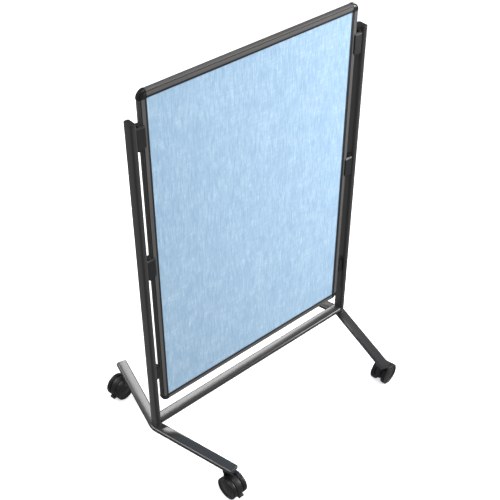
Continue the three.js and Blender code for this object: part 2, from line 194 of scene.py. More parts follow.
def slice_at(piece, point, normal):
    """Cuts an edge loop across the whole piece, and takes nothing away."""
    edit(piece, "FACE")
    bpy.ops.mesh.select_all(action="SELECT")
    bpy.ops.mesh.bisect(plane_co=point, plane_no=normal)
    leave()


def tidy(piece, angle=32):
    """Merges doubles, turns the faces outwards and shades the gentle edges smooth."""
    edit(piece, "VERT")
    bpy.ops.mesh.select_all(action="SELECT")
    bpy.ops.mesh.remove_doubles(threshold=0.00001)
    bpy.ops.mesh.normals_make_consistent(inside=False)
    leave()
    only(piece)
    bpy.ops.object.shade_smooth_by_angle(angle=math.radians(angle))
    return piece


def copy_of(piece, name, turn=(0, 0, 0), shift=(0, 0, 0)):
    """Another one with its own mesh, turned about the origin and then moved."""
    twin = piece.copy()
    twin.data = piece.data.copy()
    twin.name = name
    bpy.context.collection.objects.link(twin)
    twin.rotation_euler = turn
    twin.location = shift
    return settle(twin)


def join(name, *pieces):
    """Makes one piece of several."""
    only(pieces[0])
    for piece in pieces:
        piece.select_set(True)
    bpy.ops.object.join()
    bpy.context.object.name = name
    return bpy.context.object


def install(piece, body, slot, material, *stands_for):
    """Gives the piece its finish and its body, and hides the drawn nodes that it stands for."""
    piece.data.materials.clear()
    piece.data.materials.append(material)
    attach(piece, body)
    if stands_for:
        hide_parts(*stands_for)
    return piece


print("hand tools ready")

# %% [markdown]
# ## Finishes
# A finish is a small tree of nodes on Object coordinates, so it keeps its scale in metres on
# every piece. Roughness and a fine bump carry most of the look: powder coat has an orange
# peel, anodised metal has drawn lines along its length, and moulded plastic has a grain.

# %% Node helpers
class Finish:
    """A material with one Principled shader, and short ways to add nodes to it."""

    def __init__(self, name):
        self.material = bpy.data.materials.new(name)
        self.material.use_nodes = True
        self.tree = self.material.node_tree
        self.shader = self.tree.nodes["Principled BSDF"]
        self.where = self.tree.nodes.new("ShaderNodeTexCoord").outputs["Object"]

    def set(self, **values):
        """Sets the shader's inputs; an underscore stands for a space in a name."""
        for name, value in values.items():
            self.shader.inputs[name.replace("_", " ")].default_value = value

    def link(self, output, socket):
        self.tree.links.new(output, self.shader.inputs[socket])

    def noise(self, cells, detail=3.0, rough=0.5):
        """Noise with about this many cells in a metre along X, Y and Z."""
        mapping = self.tree.nodes.new("ShaderNodeMapping")
        mapping.inputs["Scale"].default_value = cells
        self.tree.links.new(self.where, mapping.inputs["Vector"])
        node = self.tree.nodes.new("ShaderNodeTexNoise")
        node.inputs["Scale"].default_value = 1.0
        node.inputs["Detail"].default_value = detail
        node.inputs["Roughness"].default_value = rough
        self.tree.links.new(mapping.outputs["Vector"], node.inputs["Vector"])
        return node.outputs["Fac"]

    def spread(self, value, low, high, start=0.3, end=0.7):
        """Stretches the part of a value from start to end to run from low to high."""
        node = self.tree.nodes.new("ShaderNodeMapRange")
        node.inputs["From Min"].default_value = start
        node.inputs["From Max"].default_value = end
        node.inputs["To Min"].default_value = low
        node.inputs["To Max"].default_value = high
        self.tree.links.new(value, node.inputs["Value"])
        return node.outputs["Result"]

    def mix(self, fraction, first, second):
        """Blends two colours, each of them a constant or another node's output."""
        node = self.tree.nodes.new("ShaderNodeMix")
        node.data_type = "RGBA"
        self.tree.links.new(fraction, node.inputs[0])
        for socket, colour in ((6, first), (7, second)):
            if isinstance(colour, bpy.types.NodeSocket):
                self.tree.links.new(colour, node.inputs[socket])
            else:
                node.inputs[socket].default_value = colour
        return node.outputs[2]

    def sum(self, first, second):
        node = self.tree.nodes.new("ShaderNodeMath")
        node.operation = "ADD"
        self.tree.links.new(first, node.inputs[0])
        self.tree.links.new(second, node.inputs[1])
        return node.outputs["Value"]

    def bump(self, height, strength, distance):
        """Raises the surface by up to this distance, in metres, where height is 1."""
        node = self.tree.nodes.new("ShaderNodeBump")
        node.inputs["Strength"].default_value = strength
        node.inputs["Distance"].default_value = distance
        self.tree.links.new(height, node.inputs["Height"])
        self.link(node.outputs["Normal"], "Normal")


def shade(red, green, blue):
    return (red, green, blue, 1.0)


print("node helpers ready")

# %% [markdown]
# The cloth is a plain weave of uneven yarn: pale slubs run up it, darker streaks cross it,
# and darker patches lie between them. A picture of cloth would repeat, so it is all made of
# noise: stretched upright for the slubs, stretched level for the weft's streaks, and broad
# for the patches. Two crossing waves raise the threads.

# %% Pale blue slub cloth
def cloth_finish():
    cloth = Finish("pale_blue_slub_cloth")
    slubs = cloth.noise((200, 40, 24), detail=2.0, rough=0.6)
    weft = cloth.noise((30, 40, 190), detail=3.0, rough=0.6)
    patches = cloth.noise((12, 4, 10), detail=5.0, rough=0.66)
    base = cloth.mix(
        cloth.spread(slubs, 0.0, 1.0),
        shade(0.290, 0.460, 0.650),
        shade(0.530, 0.705, 0.850),
    )
    crossed = cloth.mix(
        cloth.spread(weft, 0.0, 0.75, 0.40, 0.66), base, shade(0.340, 0.515, 0.700)
    )
    toned = cloth.mix(
        cloth.spread(patches, 0.0, 0.45, 0.42, 0.66), crossed, shade(0.290, 0.455, 0.650)
    )
    cloth.link(toned, "Base Color")
    cloth.set(
        Roughness=0.92, Specular_IOR_Level=0.25, Sheen_Weight=0.12, Sheen_Roughness=0.5
    )
    threads = []
    for direction in ("X", "Z"):
        wave = cloth.tree.nodes.new("ShaderNodeTexWave")
        wave.wave_type = "BANDS"
        wave.bands_direction = direction
        wave.inputs["Scale"].default_value = 320.0
        wave.inputs["Distortion"].default_value = 0.6
        wave.inputs["Detail"].default_value = 1.0
        cloth.tree.links.new(cloth.where, wave.inputs["Vector"])
        threads.append(wave.outputs["Fac"])
    weave = cloth.sum(*threads)
    cloth.bump(cloth.sum(weave, cloth.spread(slubs, 0.0, 2.0)), 0.35, 0.4 * mm)
    return cloth.material


cloth_blue = cloth_finish()
print("cloth finish of", len(cloth_blue.node_tree.nodes), "nodes")

# %% [markdown]
# The frame is aluminium pressed through a die and anodised graphite. The die leaves very
# fine lines along the length, so there is one finish for the rails that lie along X and one
# for the upright rails along Z. The coat is dark and satin and hides most of the metal's own
# shine, so the shader is only slightly metallic.

# %% Graphite anodised aluminium
def anodised_finish(name, along):
    metal = Finish(name)
    across, lengthwise = 900, 3
    lines = metal.noise(
        tuple(lengthwise if axis == along else across for axis in "XYZ"), detail=2.0
    )
    cloudy = metal.noise((9, 9, 9), detail=3.0)
    tone = metal.mix(
        metal.spread(lines, 0.0, 1.0), shade(0.092, 0.089, 0.088), shade(0.132, 0.128, 0.127)
    )
    metal.link(
        metal.mix(metal.spread(cloudy, 0.0, 0.35), tone, shade(0.090, 0.085, 0.080)),
        "Base Color",
    )
    metal.set(Metallic=0.15, Specular_IOR_Level=0.2)
    metal.link(metal.spread(lines, 0.44, 0.56), "Roughness")
    metal.bump(lines, 0.10, 0.08 * mm)
    return metal.material


rail_level = anodised_finish("graphite_anodised_level", "X")
rail_upright = anodised_finish("graphite_anodised_upright", "Z")
print("rail finishes", rail_level.name, rail_upright.name)

# %% [markdown]
# The tubes are steel with a graphite powder coat. Baked powder flows out to a glossy skin
# with a faint orange peel, which a low noise bump gives. Where hands and shoes touch it the
# gloss is a little uneven.

# %% Graphite powder coat
def powder_coat_finish():
    coat = Finish("graphite_powder_coat")
    peel = coat.noise((420, 420, 420), detail=2.0)
    speck = coat.noise((1500, 1500, 1500), detail=1.0)
    handled = coat.noise((6, 6, 6), detail=4.0, rough=0.6)
    coat.link(
        coat.mix(
            coat.spread(speck, 0.0, 1.0),
            shade(0.031, 0.030, 0.030),
            shade(0.043, 0.042, 0.042),
        ),
        "Base Color",
    )
    coat.set(Specular_IOR_Level=0.46)
    coat.link(coat.spread(handled, 0.15, 0.21), "Roughness")
    coat.bump(peel, 0.06, 0.1 * mm)
    return coat.material


powder_graphite = powder_coat_finish()
print("tube finish", powder_graphite.name)

# %% [markdown]
# There are three kinds of black plastic: a polished one for the corner caps, a grained one
# for the brackets and hoods, and a hard nylon for the wheels, with a few scuffs. They differ
# only in tone, gloss and grain, so one function makes all three.

# %% Black plastics
def plastic_finish(name, dark, light, roughness, grain, depth, scuff=0.0):
    """Grain is in cells a metre, depth in metres, and scuff is how far the scuffs cover."""
    plastic = Finish(name)
    fine = plastic.noise((grain, grain, grain), detail=2.0)
    worn = plastic.noise((38, 38, 38), detail=5.0, rough=0.65)
    base = plastic.mix(plastic.spread(fine, 0.0, 1.0), shade(*dark), shade(*light))
    if scuff:
        base = plastic.mix(
            plastic.spread(worn, 0.0, scuff, 0.52, 0.72), base, shade(0.070, 0.070, 0.067)
        )
    plastic.link(base, "Base Color")
    plastic.set(Specular_IOR_Level=0.36)
    plastic.link(plastic.spread(worn, *roughness), "Roughness")
    plastic.bump(fine, 0.18, depth)
    return plastic.material


cap_black = plastic_finish(
    "polished_black_cap",
    dark=(0.010, 0.010, 0.012),
    light=(0.016, 0.016, 0.018),
    roughness=(0.14, 0.24),
    grain=300,
    depth=0.05 * mm,
)
grain_black = plastic_finish(
    "grained_black_moulding",
    dark=(0.009, 0.009, 0.010),
    light=(0.016, 0.016, 0.017),
    roughness=(0.36, 0.50),
    grain=1400,
    depth=0.2 * mm,
)
wheel_black = plastic_finish(
    "black_nylon_wheel",
    dark=(0.007, 0.007, 0.008),
    light=(0.012, 0.012, 0.013),
    roughness=(0.26, 0.42),
    grain=700,
    depth=0.1 * mm,
    scuff=0.16,
)
print("plastics", cap_black.name, grain_black.name, wheel_black.name)

# %% [markdown]
# Zinc plating is bright and slightly yellow, with a crystalline blotch. The board's core is
# pressed fibre; it only shows where the cloth is taken off, but it gets its finish too.

# %% Zinc and fibreboard
def zinc_finish():
    zinc = Finish("zinc_plate")
    blotch = zinc.noise((160, 160, 160), detail=4.0)
    zinc.link(
        zinc.mix(
            zinc.spread(blotch, 0.0, 1.0), shade(0.48, 0.49, 0.50), shade(0.66, 0.66, 0.64)
        ),
        "Base Color",
    )
    zinc.set(Metallic=1.0)
    zinc.link(zinc.spread(blotch, 0.26, 0.40), "Roughness")
    zinc.bump(blotch, 0.05, 0.1 * mm)
    return zinc.material


def fibreboard_finish():
    board = Finish("pressed_fibreboard")
    fibres = board.noise((90, 90, 400), detail=5.0, rough=0.7)
    board.link(
        board.mix(
            board.spread(fibres, 0.0, 1.0), shade(0.33, 0.23, 0.13), shade(0.50, 0.38, 0.24)
        ),
        "Base Color",
    )
    board.set(Roughness=0.9)
    board.bump(fibres, 0.4, 0.5 * mm)
    return board.material


zinc_plate = zinc_finish()
fibreboard = fibreboard_finish()
print("hidden finishes", zinc_plate.name, fibreboard.name)

# %% [markdown]
# ## The board
# The board is pressed fibre with a cloth stretched over each face, and the frame hides the
# edge of both. A loose cloth would be dropped or pinned in a cloth simulation, but a
# stretched one is flat, so each one is a fine grid pushed back to the thickness of the
# cloth. It stops just short of the board. The drawn core stays and takes the fibreboard
# finish.

# %% Two stretched cloths
core_low, core_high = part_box("panel_core")
board_width = core_high[0] - core_low[0]
board_height = core_high[2] - core_low[2]
board_middle = (core_high[2] + core_low[2]) / 2
cloth_share = 0.8


def coat_drawn(node, material):
    """Gives a drawn piece that stays its finish."""
    nodes[node].data.materials.clear()
    nodes[node].data.materials.append(material)


def stretch_cloth(name, node, facing_front):
    low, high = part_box(node)
    outer, inner = (low[1], high[1]) if facing_front else (high[1], low[1])
    bpy.ops.object.select_all(action="DESELECT")
    bpy.ops.mesh.primitive_grid_add(
        x_subdivisions=80,
        y_subdivisions=120,
        size=1,
        location=(0, outer, board_middle),
        rotation=(math.pi / 2, 0, 0 if facing_front else math.pi),
    )
    cloth = sized(name, (board_width, board_height, 1))
    edit(cloth, "VERT")
    bpy.ops.mesh.select_all(action="SELECT")
    bpy.ops.mesh.extrude_region_move(
        TRANSFORM_OT_translate={"value": (0, (inner - outer) * cloth_share, 0)}
    )
    leave()
    tidy(cloth, 60)
    install(cloth, "stand", "fabric", cloth_blue, node)


coat_drawn("panel_core", fibreboard)
stretch_cloth("front_cloth", "front_fabric", facing_front=True)
stretch_cloth("back_cloth", "back_fabric", facing_front=False)
print("cloth", round(board_width, 3), "by", round(board_height, 3))

# %% [markdown]
# ## The frame
# A rail is one extrusion: a lip against the cloth, a flat face, a groove, and a rounded crest
# outside it. A thin black bead covers the lip. It is a dark glazing bead, made taller than a
# real one so that it also paints the shadow that the lip casts on the cloth. The floor of the
# groove is black, and that is painted shade in the groove. The section is drawn as a strip: an
# edge is extruded level by level from the lip to the crest, and widened or narrowed at each
# level. A bevelled block would need a cut for the groove, and the strip gives every level in
# one pass.

# %% The section of a rail
def draw_section(name, levels, at_x=0.0):
    """levels are (half width, height) pairs; the strip stands in the YZ plane."""
    (half, height), (next_half, next_height) = levels[:2]
    bpy.ops.object.select_all(action="DESELECT")
    bpy.ops.mesh.primitive_plane_add(
        size=1,
        location=(at_x, 0, (height + next_height) / 2),
        rotation=(math.pi / 2, 0, math.pi / 2),
    )
    strip = sized(name, (2 * half, next_height - height, 1))
    middle = (height + next_height) / 2
    pick_edges(strip, lambda a, b: min(a.z, b.z) > middle)
    bpy.ops.transform.resize(
        value=(1, next_half / half, 1), center_override=(at_x, 0, next_height)
    )
    for (half, height), (next_half, next_height) in zip(levels[1:], levels[2:]):
        bpy.ops.mesh.extrude_region_move(
            TRANSFORM_OT_translate={"value": (0, 0, next_height - height)}
        )
        bpy.ops.transform.resize(
            value=(1, next_half / half, 1), center_override=(at_x, 0, next_height)
        )
    leave()
    return strip


lip_half, bead_half, rail_half = 12.6 * mm, 13.4 * mm, 14 * mm
# Taller than a real bead, so that the black bead also paints the lip's shadow on the cloth.
bead_and_shadow_height = 9 * mm
groove_half, outer_wall_half = 11.4 * mm, 12.7 * mm
groove_start, groove_end, edge_slope = 23.4 * mm, 27 * mm, 0.6 * mm
rail_height = 32 * mm
crest_half, crest_width, crest_rise = 5 * mm, 8.8 * mm, 10 * mm
crest_steps, crest_first = 10, 4
rail_levels = [
    (lip_half, 0),
    (bead_half, bead_and_shadow_height),
    (rail_half, bead_and_shadow_height + edge_slope),
    (rail_half, groove_start),
    (groove_half, groove_start + edge_slope),
    (groove_half, groove_end - edge_slope),
    (outer_wall_half, groove_end),
]
for step in range(crest_first, crest_steps + 1):
    turned = math.pi / 2 * step / crest_steps
    rail_levels.append(
        (
            crest_half + crest_width * math.cos(turned),
            rail_height - crest_rise + crest_rise * math.sin(turned),
        )
    )
bead_middle = (lip_half + bead_half) / 2
print("rail section of", len(rail_levels), "levels")

# %% [markdown]
# The whole section is pushed along the rail, as the die does with the metal, and the slot
# for the board is sunk into the lip. All four are drawn as the top one and then turned about
# the middle of the board, so they stay alike. The bead and the floor of the groove take the
# black plastic's finish. On the groove's floor it is painted shade, and on the bead it is
# partly painted shadow under the lip.

# %% Four rails
slot_wall = 0.7 * mm
slot_depth = 9 * mm


def is_bead_or_groove_shade(at, normal):
    """Holds for the faces of the bead and of the groove's floor, which are painted dark:
    painted shade in the groove, and on the bead partly the painted shadow of the lip.
    """
    in_place = any(abs(abs(at.y) - half) < 0.05 * mm for half in (bead_middle, groove_half))
    return abs(normal.y) > 0.98 and in_place


def draw_rail(name, node, turn, finish):
    """Draws a top rail and turns it about the middle of the board to its own side."""
    low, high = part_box(node)
    level = turn in (0, 180)
    length = high[0] - low[0] if level else high[2] - low[2]
    rail = draw_section(name, rail_levels, at_x=-length / 2)
    edit(rail, "FACE")
    bpy.ops.mesh.select_all(action="SELECT")
    bpy.ops.mesh.extrude_region_move(TRANSFORM_OT_translate={"value": (length, 0, 0)})
    leave()
    tidy(rail)
    pick_faces(rail, lambda middle, normal: middle.z < 0.5 * mm and normal.z < -0.9)
    bpy.ops.mesh.inset(thickness=slot_wall)
    bpy.ops.mesh.extrude_region_move(TRANSFORM_OT_translate={"value": (0, 0, slot_depth)})
    leave()
    crest = {
        0: high[2] - board_middle,
        90: -low[0],
        180: board_middle - low[2],
        270: high[0],
    }[turn]
    rail.location = (0, 0, crest - rail_height)
    settle(rail)
    rail.rotation_euler = (0, math.radians(-turn), 0)
    rail.location = (0, 0, board_middle)
    settle(rail)
    tidy(rail, 25)
    install(rail, "stand", "frame", finish, node)
    # The bead and the groove's floor are painted dark: painted shade in the groove, and on the
    # bead partly the lip's painted shadow.
    rail.data.materials.append(grain_black)
    pick_faces(rail, is_bead_or_groove_shade)
    rail.active_material_index = 1
    bpy.ops.object.material_slot_assign()
    leave()
    return rail


for side, turn, finish in (
    ("top", 0, rail_level),
    ("left", 90, rail_upright),
    ("bottom", 180, rail_level),
    ("right", 270, rail_upright),
):
    rail = draw_rail(side + "_frame_rail", side + "_rail", turn, finish)
    print(rail.name, [[round(v, 3) for v in rail.bound_box[i]] for i in (0, 6)])

# %% [markdown]
# The corner caps are mouldings that carry the rail's section round the corner. They are
# drawn like the rails, but with ridges over the crest, and then spun a quarter turn about
# the corner of the cloth, which bends the ridges round it too. They stand a little proud of
# the rails.

# %% Four ribbed corner caps
cap_half = 15 * mm
cap_flat = 19 * mm
cap_width, cap_rise = 10 * mm, 15 * mm
ridge_depth = 1.3 * mm
ridge_steps, ridge_pitch = 18, 6
cap_levels = [(cap_half, 0), (cap_half, 6 * mm), (cap_half, cap_flat)]
for step in range(1, ridge_steps + 1):
    turned = math.pi / 2 * step / ridge_steps
    sunk = ridge_depth if step % ridge_pitch in (2, 3) else 0.0
    cap_levels.append(
        (
            crest_half + (cap_width - sunk) * math.cos(turned),
            cap_flat + (cap_rise - sunk) * math.sin(turned),
        )
    )


def spin_cap():
    cap = draw_section("corner_cap", cap_levels)
    edit(cap, "FACE")
    bpy.ops.mesh.select_all(action="SELECT")
    bpy.ops.mesh.spin(
        steps=20, angle=math.pi / 2, center=(0, 0, 0), axis=(0, -1, 0), dupli=False
    )
    leave()
    tidy(cap, 28)
    return cap


cap_pattern = spin_cap()
print("cap pattern", [[round(v, 4) for v in cap_pattern.bound_box[i]] for i in (0, 6)])
opening_half = 497 * mm
opening_low, opening_high = 311 * mm, 1786 * mm
for name, x, z, turn in (
    ("top_right", opening_half, opening_high, 0),
    ("bottom_right", opening_half, opening_low, 90),
    ("bottom_left", -opening_half, opening_low, 180),
    ("top_left", -opening_half, opening_high, 270),
):
    cap = copy_of(cap_pattern, name + "_cap", (0, math.radians(turn), 0), (x, 0, z))
    install(cap, "stand", "cap_plastic", cap_black, "corner_cap_" + name)
bpy.data.objects.remove(cap_pattern)

# %% [markdown]
# ## Posts, crossbar and feet
# All three are the same flat tube, fifty millimetres by twenty-five, with well rounded
# corners. It could be a section pushed along a line, but a straight tube is quicker as a
# block whose four long edges are bevelled round. A post stands on its foot in a small weld
# bead, and a plastic cap closes its top.

# %% Posts and their caps
tube_wide, tube_deep = 50 * mm, 25 * mm
tube_round = 9 * mm
round_steps = 6
weld_size = 1.6 * mm
lid_height = 4.7 * mm
lid_round = 2.2 * mm


def upright(axis):
    """A test for edges that run along one axis only."""
    others = [i for i in range(3) if i != "XYZ".index(axis)]
    return lambda a, b: all(abs(a[i] - b[i]) < 1e-6 for i in others)


for side in ("left", "right"):
    low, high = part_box(side + "_post")
    post = block(side + "_upright_tube", low, high)
    round_edges(post, upright("Z"), tube_round, round_steps)
    weld = block(
        "weld",
        (low[0] - weld_size, low[1] - weld_size, low[2]),
        (high[0] + weld_size, high[1] + weld_size, low[2] + 2 * weld_size),
    )
    round_edges(weld, upright("Z"), tube_round + weld_size, round_steps)
    round_edges(weld, lambda a, b: min(a.z, b.z) > low[2] + weld_size, weld_size * 0.9, 3)
    post = join(side + "_upright_tube", tidy(post), tidy(weld, 60))
    install(post, "stand", "tube", powder_graphite, side + "_post")

    low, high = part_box(side + "_post_cap")
    lid = block(side + "_tube_lid", (low[0], low[1], high[2] - lid_height), high)
    round_edges(lid, upright("Z"), tube_round, round_steps)
    round_edges(lid, lambda a, b: min(a.z, b.z) > high[2] - 0.1 * mm, lid_round, 4)
    tidy(lid, 40)
    install(lid, "stand", "moulded_plastic", grain_black, side + "_post_cap")

# %% [markdown]
# The crossbar keeps the posts apart. It is the same tube with its wide side up.

# %% Crossbar
low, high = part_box("crossbar")
bar = block("low_cross_tube", low, high)
round_edges(bar, upright("X"), tube_round, round_steps)
tidy(bar)
install(bar, "stand", "tube", powder_graphite, "crossbar")
print("crossbar from", round(low[2], 4), "to", round(high[2], 4))

# %% [markdown]
# A foot is one length of the tube, bent on edge round a former so that its two legs splay
# towards the middle of the wall. Two blocks would meet in a sharp mitre, so the section is
# pushed along the front leg, spun round the bend and pushed along the back leg.

# %% Bent feet
leg_end = Vector((464 * mm, 415.5 * mm))
corner_x = 571.5 * mm
bend_radius = 60 * mm
cap_allowance = 4 * mm
leg_angle = math.atan2(corner_x - leg_end.x, leg_end.y)
leg_length = math.hypot(corner_x - leg_end.x, leg_end.y)
foot_low, foot_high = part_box("right_foot")
foot_middle = (foot_low[2] + foot_high[2]) / 2
bend_centre = corner_x - bend_radius / math.cos(leg_angle)
straight = leg_length - cap_allowance - bend_radius * math.tan(leg_angle)


def bend_foot():
    """The right foot, from the end of its front leg round to the end of its back leg."""
    ahead = Vector((math.sin(leg_angle), math.cos(leg_angle), 0))
    onward = Vector((-math.sin(leg_angle), math.cos(leg_angle), 0))
    start = Vector((bend_centre, 0, foot_middle))
    start += bend_radius * Vector((math.cos(leg_angle), -math.sin(leg_angle), 0))
    start -= straight * ahead
    bpy.ops.object.select_all(action="DESELECT")
    bpy.ops.mesh.primitive_plane_add(size=1)
    foot = sized("bent_foot", (tube_wide, tube_deep, 1))
    edit(foot, "VERT")
    bpy.ops.mesh.select_all(action="SELECT")
    bpy.ops.mesh.bevel(offset=tube_round, segments=round_steps, affect="VERTICES")
    leave()
    foot.rotation_euler = (-math.pi / 2, 0, -leg_angle)
    foot.location = start
    settle(foot)
    edit(foot, "FACE")
    bpy.ops.mesh.select_all(action="SELECT")
    bpy.ops.mesh.extrude_region_move(TRANSFORM_OT_translate={"value": tuple(straight * ahead)})
    bpy.ops.mesh.spin(
        steps=16,
        angle=2 * leg_angle,
        center=(bend_centre, 0, foot_middle),
        axis=(0, 0, -1),
        dupli=False,
    )
    bpy.ops.mesh.extrude_region_move(TRANSFORM_OT_translate={"value": tuple(straight * onward)})
    leave()
    return tidy(foot)


foot_pattern = bend_foot()
print("foot", [[round(v, 4) for v in foot_pattern.bound_box[i]] for i in (0, 6)])
for side, turn in (("right", 0.0), ("left", math.pi)):
    foot = copy_of(foot_pattern, side + "_bent_foot", (0, 0, turn))
    install(foot, "stand", "tube", powder_graphite, side + "_foot")
bpy.data.objects.remove(foot_pattern)

# %% [markdown]
# A small cap closes the end of each leg, flush with the tube and rounded at its outer rim.
# One is made at the origin and copied to all four ends.

# %% Leg end caps
end_thickness = 3.7 * mm
end_round = 1.8 * mm
end_pattern = block(
    "leg_end",
    (-tube_wide / 2, 0, -tube_deep / 2),
    (tube_wide / 2, end_thickness, tube_deep / 2),
)
round_edges(end_pattern, upright("Y"), tube_round, round_steps)
round_edges(end_pattern, lambda a, b: max(a.y, b.y) < 0.1 * mm, end_round, 4)
tidy(end_pattern, 40)
for corner, right, back in (
    ("front_right", 1, -1),
    ("back_right", 1, 1),
    ("back_left", -1, 1),
    ("front_left", -1, -1),
):
    turn = -right * leg_angle if back < 0 else math.pi + right * leg_angle
    place = (right * leg_end.x, back * leg_end.y, foot_middle)
    cap = copy_of(end_pattern, corner + "_leg_cap", (0, 0, turn), place)
    install(cap, "stand", "tube", powder_graphite, corner + "_foot_end")
bpy.data.objects.remove(end_pattern)
print("legs turned in by", round(math.degrees(leg_angle), 2), "degrees")

# %% [markdown]
# ## Brackets
# The middle and upper brackets are moulded clamps: a block fills the gap beside the frame,
# and two jaws lap the frame's edge. The block is cut into three strips and the outer two are
# pushed out, which makes the jaws without a join. Everything here is made once, for the
# right side, at height nought.

# %% Clamp
clearance = 0.3 * mm
top_chamfer, heel_chamfer = 8 * mm, 10 * mm


def mould_clamp():
    low, high = (Vector(v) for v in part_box("right_middle_bracket"))
    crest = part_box("right_rail")[1][0] + clearance
    middle = (low.z + high.z) / 2
    jaw = rail_half + clearance
    to_jaw_tip = (low.x - crest, 0, 0)
    clamp = block("clamp", (crest, low.y, low.z), high)
    slice_at(clamp, (0, -jaw, 0), (0, 1, 0))
    slice_at(clamp, (0, jaw, 0), (0, 1, 0))
    push(clamp, lambda at, normal: normal.x < -0.9 and at.y < -jaw, to_jaw_tip)
    push(clamp, lambda at, normal: normal.x < -0.9 and at.y > jaw, to_jaw_tip)
    tidy(clamp)
    round_edges(
        clamp,
        lambda a, b: min(a.z, b.z) > high.z - mm
        and abs(a.y - b.y) < 1e-6
        and abs(abs(a.y) - high.y) < 1e-6
        and abs(a.x - b.x) > mm,
        top_chamfer,
        1,
    )
    round_edges(
        clamp,
        lambda a, b: max(a.z, b.z) < low.z + mm
        and abs(a.x - b.x) < 1e-6
        and abs(a.x - low.x) < 1e-6,
        heel_chamfer,
        1,
    )
    soften(clamp, 1.1 * mm, 3)
    clamp.location = (0, 0, -middle)
    return tidy(settle(clamp), 40)


clamp_pattern = mould_clamp()
print("clamp faces", len(clamp_pattern.data.polygons))

# %% [markdown]
# A pin with a round knob stands in each bracket. The knob is a disc with every third side
# swelled into a rib for the fingers, and its top is dished a little.

# %% Knob
knob_sides = 36


def turn_knob(level):
    """The pin's round head with finger ribs, and its low button underneath."""
    low, high = (Vector(v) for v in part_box("right_" + level + "_bracket_pin"))
    block_low, block_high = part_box("right_" + level + "_bracket")
    middle = (block_low[2] + block_high[2]) / 2
    x, y = (low.x + high.x) / 2, (low.y + high.y) / 2
    radius = (high.x - low.x) / 2
    rib_height = 0.7 * mm
    head = high.z - block_high[2]
    head_place = (x, y, high.z - head / 2)
    knob = disc("knob", radius - rib_height, head, head_place, "Z", knob_sides)

    def on_rib(at, normal):
        side = int((math.degrees(math.atan2(at.y - y, at.x - x)) + 360) // (360 / knob_sides))
        return abs(normal.z) < 0.1 and side % 3 == 0

    pick_faces(knob, on_rib)
    swell(rib_height)
    leave()
    pick_faces(knob, lambda at, normal: normal.z > 0.9)
    bpy.ops.mesh.inset(thickness=2 * mm)
    bpy.ops.transform.translate(value=(0, 0, -1 * mm))
    leave()
    soften(knob, 0.5 * mm, 2, 50)
    drop = block_low[2] - low.z
    button = disc("button", radius, drop, (x, y, low.z + drop / 2), "Z", knob_sides)
    round_edges(button, lambda a, b: max(a.z, b.z) < low.z + 0.1 * mm, 2 * mm, 3)
    whole = join("knob", tidy(knob, 40), tidy(button, 40))
    whole.location = (0, 0, -middle)
    return settle(whole), middle


print("knob of", knob_sides, "sides")

# %% [markdown]
# The lower brackets are smaller and plainer: a spacer with two grooves round it. A ring of
# faces is cut off above and below each groove and then sunk.

# %% Spacer
groove_near, groove_far, groove_depth = 6 * mm, 9 * mm, 0.9 * mm


def mould_spacer():
    low, high = (Vector(v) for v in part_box("right_lower_bracket"))
    middle = (low.z + high.z) / 2
    spacer = block("spacer", low, high)
    round_edges(spacer, upright("Z"), 4 * mm, 5)
    for away in (-groove_far, -groove_near, groove_near, groove_far):
        slice_at(spacer, (0, 0, middle + away), (0, 0, 1))
    pick_faces(
        spacer,
        lambda at, normal: abs(normal.z) < 0.2
        and groove_near < abs(at.z - middle) < groove_far,
    )
    swell(-groove_depth)
    leave()
    soften(spacer, 0.8 * mm, 2, 50)
    spacer.location = (0, 0, -middle)
    return tidy(settle(spacer), 40)


spacer_pattern = mould_spacer()
print("spacer faces", len(spacer_pattern.data.polygons))

# %% [markdown]
# The brackets on the left are the same mouldings turned half round, and not mirrored, as
# they would be on the real wall, where one mould serves both sides.

# %% Six brackets and their knobs
for level, pattern in (
    ("middle", clamp_pattern),
    ("upper", clamp_pattern),
    ("lower", spacer_pattern),
):
    knob_pattern, height = turn_knob(level)
    knob_y = sum(corner[1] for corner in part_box("right_" + level + "_bracket_pin")) / 2
    for side, turn in (("right", 0.0), ("left", math.pi)):
        node = side + "_" + level + "_bracket"
        bracket = copy_of(pattern, side + "_" + level + "_clamp", (0, 0, turn), (0, 0, height))
        install(bracket, "stand", "moulded_plastic", grain_black, node)
        # Turned half round, the pin would stand behind the middle, so it is set forward.
        forward = 0.0 if side == "right" else 2 * knob_y
        knob = copy_of(
            knob_pattern, side + "_" + level + "_knob", (0, 0, turn), (0, forward, height)
        )
        install(knob, "stand", "moulded_plastic", grain_black, node + "_pin")
    bpy.data.objects.remove(knob_pattern)
    print(level, "brackets at", round(height, 3))
bpy.data.objects.remove(clamp_pattern)
bpy.data.objects.remove(spacer_pattern)

# %% [markdown]
# ## Castors
# A castor is a moulded hood between two wheels. Its neck turns on the stem under the leg.
# Everything is modelled once with the stem at the origin and the wheels trailing towards
# -Y, and then copied to the four corners, each turned as it happens to stand.

# %% Where each castor stands
castor_inset = 41 * mm
castor_trail = 36 * mm
wheel_radius, wheel_width = 53 * mm, 22 * mm
hood_radius, hood_half = 52 * mm, 15.5 * mm
wheel_gap = 1.5 * mm
axle_height = wheel_radius
stem_x = leg_end.x + castor_inset * math.sin(leg_angle)
stem_y = leg_end.y - castor_inset * math.cos(leg_angle)
castors = {
    "front_left": (-stem_x, -stem_y, 2),
    "back_left": (-stem_x, stem_y, 280),
    "front_right": (stem_x, -stem_y, 99),
    "back_right": (stem_x, stem_y, 180),
}
hood_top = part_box("front_left_castor_hood")[1][2]
print("stems at", round(stem_x, 4), round(stem_y, 4), "hoods up to", round(hood_top, 4))

# %% [markdown]
# The hood is a thick disc cut off below the axle, with both faces drawn in and the rim
# rounded. Its neck rises from it to the leg and ends in a collar with one narrow groove
# round it. The three overlap and are joined without a boolean cut, which would leave a
# ragged mesh.

